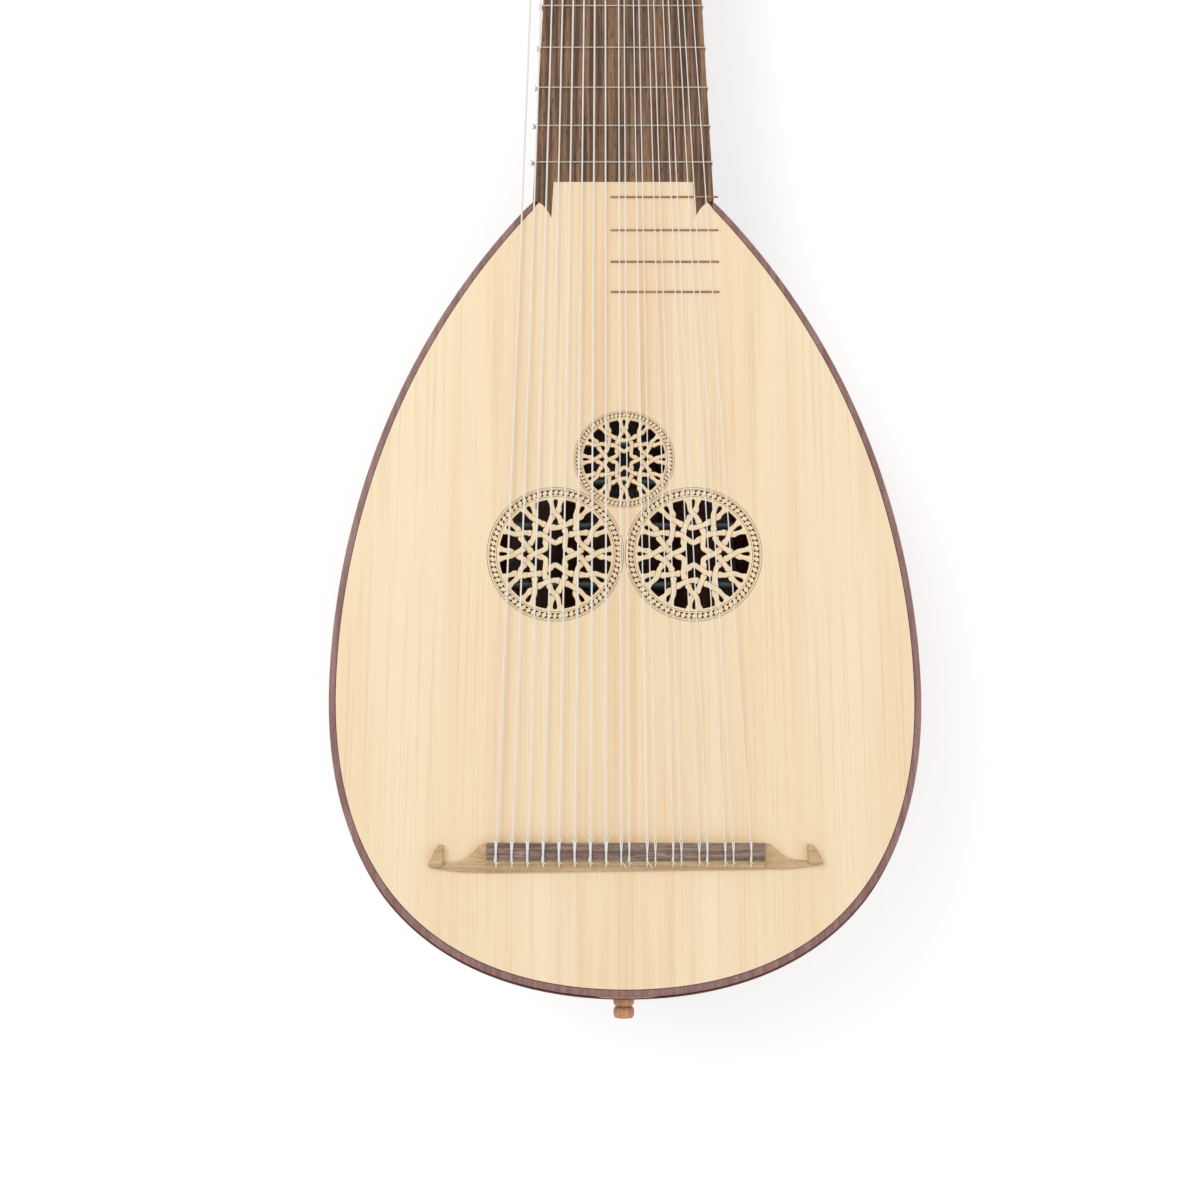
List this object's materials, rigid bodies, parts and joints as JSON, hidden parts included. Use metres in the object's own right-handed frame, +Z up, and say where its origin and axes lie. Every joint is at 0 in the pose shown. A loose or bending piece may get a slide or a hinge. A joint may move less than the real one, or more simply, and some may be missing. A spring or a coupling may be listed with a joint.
{
  "type": "archlute",
  "caption": "Archlute with a ribbed bowl, carved roses in a spruce soundboard, fretted neck, long extension, two pegboxes with turning pegs and full stringing.",
  "frame": {"origin": "centre of the box round the whole instrument, at its bottom, where the bowl and the head's far end touch the ground", "axes": "+X to the player's treble side, +Y from the tail to the head, +Z up from the ground, with the soundboard facing up and pitched 4.4 degrees"},
  "size_m": [0.3464, 1.6778, 0.1765],
  "materials": {
    "spruce": "thin satin varnish over straight close grain",
    "plum_ribs": "oil varnish, satin",
    "purple_binding": "oil varnish, satin",
    "lime_blocks": "bare planed wood",
    "neck_veneer": "oil varnish, satin",
    "walnut_fingerboard": "oiled and rubbed",
    "dark_walnut": "oiled and rubbed",
    "pear_bridge": "thin satin varnish",
    "bone": "polished bone",
    "peg_plum": "turned and waxed",
    "button_plum": "turned and waxed",
    "gut": "smooth, slightly translucent"
  },
  "bodies": {
    "instrument": {"soundboard": "spruce", "rib_1": "plum_ribs", "rib_2": "plum_ribs", "rib_3": "plum_ribs", "rib_4": "plum_ribs", "rib_5": "plum_ribs", "rib_6": "plum_ribs", "rib_7": "plum_ribs", "rib_8": "plum_ribs", "rib_9": "plum_ribs", "end_clasp": "plum_ribs", "neck_block": "lime_blocks", "neck": "neck_veneer", "fingerboard": "walnut_fingerboard", "stopped_nut": "bone", "bridge": "pear_bridge", "bridge_cap": "dark_walnut", "head": "neck_veneer", "diapason_nut": "bone", "end_button": "button_plum", "binding_bass": "purple_binding", "binding_treble": "purple_binding", "string_stopped_1": "gut", "string_stopped_2": "gut", "string_stopped_3": "gut", "string_stopped_4": "gut", "string_stopped_5": "gut", "string_stopped_6": "gut", "string_stopped_7": "gut", "string_stopped_8": "gut", "string_stopped_9": "gut", "string_stopped_10": "gut", "string_stopped_11": "gut", "string_diapason_1": "gut", "string_diapason_2": "gut", "string_diapason_3": "gut", "string_diapason_4": "gut", "string_diapason_5": "gut", "string_diapason_6": "gut", "string_diapason_7": "gut", "string_diapason_8": "gut"},
    "peg_stopped_1": {"peg_stopped_1": "peg_plum"},
    "peg_stopped_2": {"peg_stopped_2": "peg_plum"},
    "peg_stopped_3": {"peg_stopped_3": "peg_plum"},
    "peg_stopped_4": {"peg_stopped_4": "peg_plum"},
    "peg_stopped_5": {"peg_stopped_5": "peg_plum"},
    "peg_stopped_6": {"peg_stopped_6": "peg_plum"},
    "peg_stopped_7": {"peg_stopped_7": "peg_plum"},
    "peg_stopped_8": {"peg_stopped_8": "peg_plum"},
    "peg_stopped_9": {"peg_stopped_9": "peg_plum"},
    "peg_stopped_10": {"peg_stopped_10": "peg_plum"},
    "peg_stopped_11": {"peg_stopped_11": "peg_plum"},
    "peg_diapason_1": {"peg_diapason_1": "peg_plum"},
    "peg_diapason_2": {"peg_diapason_2": "peg_plum"},
    "peg_diapason_3": {"peg_diapason_3": "peg_plum"},
    "peg_diapason_4": {"peg_diapason_4": "peg_plum"},
    "peg_diapason_5": {"peg_diapason_5": "peg_plum"},
    "peg_diapason_6": {"peg_diapason_6": "peg_plum"},
    "peg_diapason_7": {"peg_diapason_7": "peg_plum"},
    "peg_diapason_8": {"peg_diapason_8": "peg_plum"}
  },
  "joints": [
    {"name": "peg_stopped_1_turn", "type": "hinge", "parent": "instrument", "child": "peg_stopped_1", "pos_m": [0.046, -0.03015, 0.09688], "axis": [1, 0, 0], "continuous": true},
    {"name": "peg_stopped_2_turn", "type": "hinge", "parent": "instrument", "child": "peg_stopped_2", "pos_m": [-0.046, -0.01522, 0.09543], "axis": [-1, 0, 0], "continuous": true},
    {"name": "peg_stopped_3_turn", "type": "hinge", "parent": "instrument", "child": "peg_stopped_3", "pos_m": [0.046, -0.00028, 0.09398], "axis": [1, 0, 0], "continuous": true},
    {"name": "peg_stopped_4_turn", "type": "hinge", "parent": "instrument", "child": "peg_stopped_4", "pos_m": [-0.046, 0.01465, 0.09253], "axis": [-1, 0, 0], "continuous": true},
    {"name": "peg_stopped_5_turn", "type": "hinge", "parent": "instrument", "child": "peg_stopped_5", "pos_m": [0.046, 0.02958, 0.09108], "axis": [1, 0, 0], "continuous": true},
    {"name": "peg_stopped_6_turn", "type": "hinge", "parent": "instrument", "child": "peg_stopped_6", "pos_m": [-0.046, 0.04451, 0.08964], "axis": [-1, 0, 0], "continuous": true},
    {"name": "peg_stopped_7_turn", "type": "hinge", "parent": "instrument", "child": "peg_stopped_7", "pos_m": [0.046, 0.05945, 0.08819], "axis": [1, 0, 0], "continuous": true},
    {"name": "peg_stopped_8_turn", "type": "hinge", "parent": "instrument", "child": "peg_stopped_8", "pos_m": [-0.046, 0.07438, 0.08674], "axis": [-1, 0, 0], "continuous": true},
    {"name": "peg_stopped_9_turn", "type": "hinge", "parent": "instrument", "child": "peg_stopped_9", "pos_m": [0.046, 0.08931, 0.08529], "axis": [1, 0, 0], "continuous": true},
    {"name": "peg_stopped_10_turn", "type": "hinge", "parent": "instrument", "child": "peg_stopped_10", "pos_m": [-0.046, 0.10424, 0.08384], "axis": [-1, 0, 0], "continuous": true},
    {"name": "peg_stopped_11_turn", "type": "hinge", "parent": "instrument", "child": "peg_stopped_11", "pos_m": [0.046, 0.11918, 0.08239], "axis": [1, 0, 0], "continuous": true},
    {"name": "peg_diapason_1_turn", "type": "hinge", "parent": "instrument", "child": "peg_diapason_1", "pos_m": [-0.00424, 0.68064, 0.0279], "axis": [1, 0, 0], "continuous": true},
    {"name": "peg_diapason_2_turn", "type": "hinge", "parent": "instrument", "child": "peg_diapason_2", "pos_m": [-0.04374, 0.69558, 0.02645], "axis": [-1, 0, 0], "continuous": true},
    {"name": "peg_diapason_3_turn", "type": "hinge", "parent": "instrument", "child": "peg_diapason_3", "pos_m": [-0.00447, 0.71051, 0.025], "axis": [1, 0, 0], "continuous": true},
    {"name": "peg_diapason_4_turn", "type": "hinge", "parent": "instrument", "child": "peg_diapason_4", "pos_m": [-0.04352, 0.72544, 0.02355], "axis": [-1, 0, 0], "continuous": true},
    {"name": "peg_diapason_5_turn", "type": "hinge", "parent": "instrument", "child": "peg_diapason_5", "pos_m": [-0.0047, 0.74037, 0.0221], "axis": [1, 0, 0], "continuous": true},
    {"name": "peg_diapason_6_turn", "type": "hinge", "parent": "instrument", "child": "peg_diapason_6", "pos_m": [-0.04329, 0.75531, 0.02065], "axis": [-1, 0, 0], "continuous": true},
    {"name": "peg_diapason_7_turn", "type": "hinge", "parent": "instrument", "child": "peg_diapason_7", "pos_m": [-0.00492, 0.77024, 0.01921], "axis": [1, 0, 0], "continuous": true},
    {"name": "peg_diapason_8_turn", "type": "hinge", "parent": "instrument", "child": "peg_diapason_8", "pos_m": [-0.04307, 0.78517, 0.01776], "axis": [-1, 0, 0], "continuous": true}
  ]
}
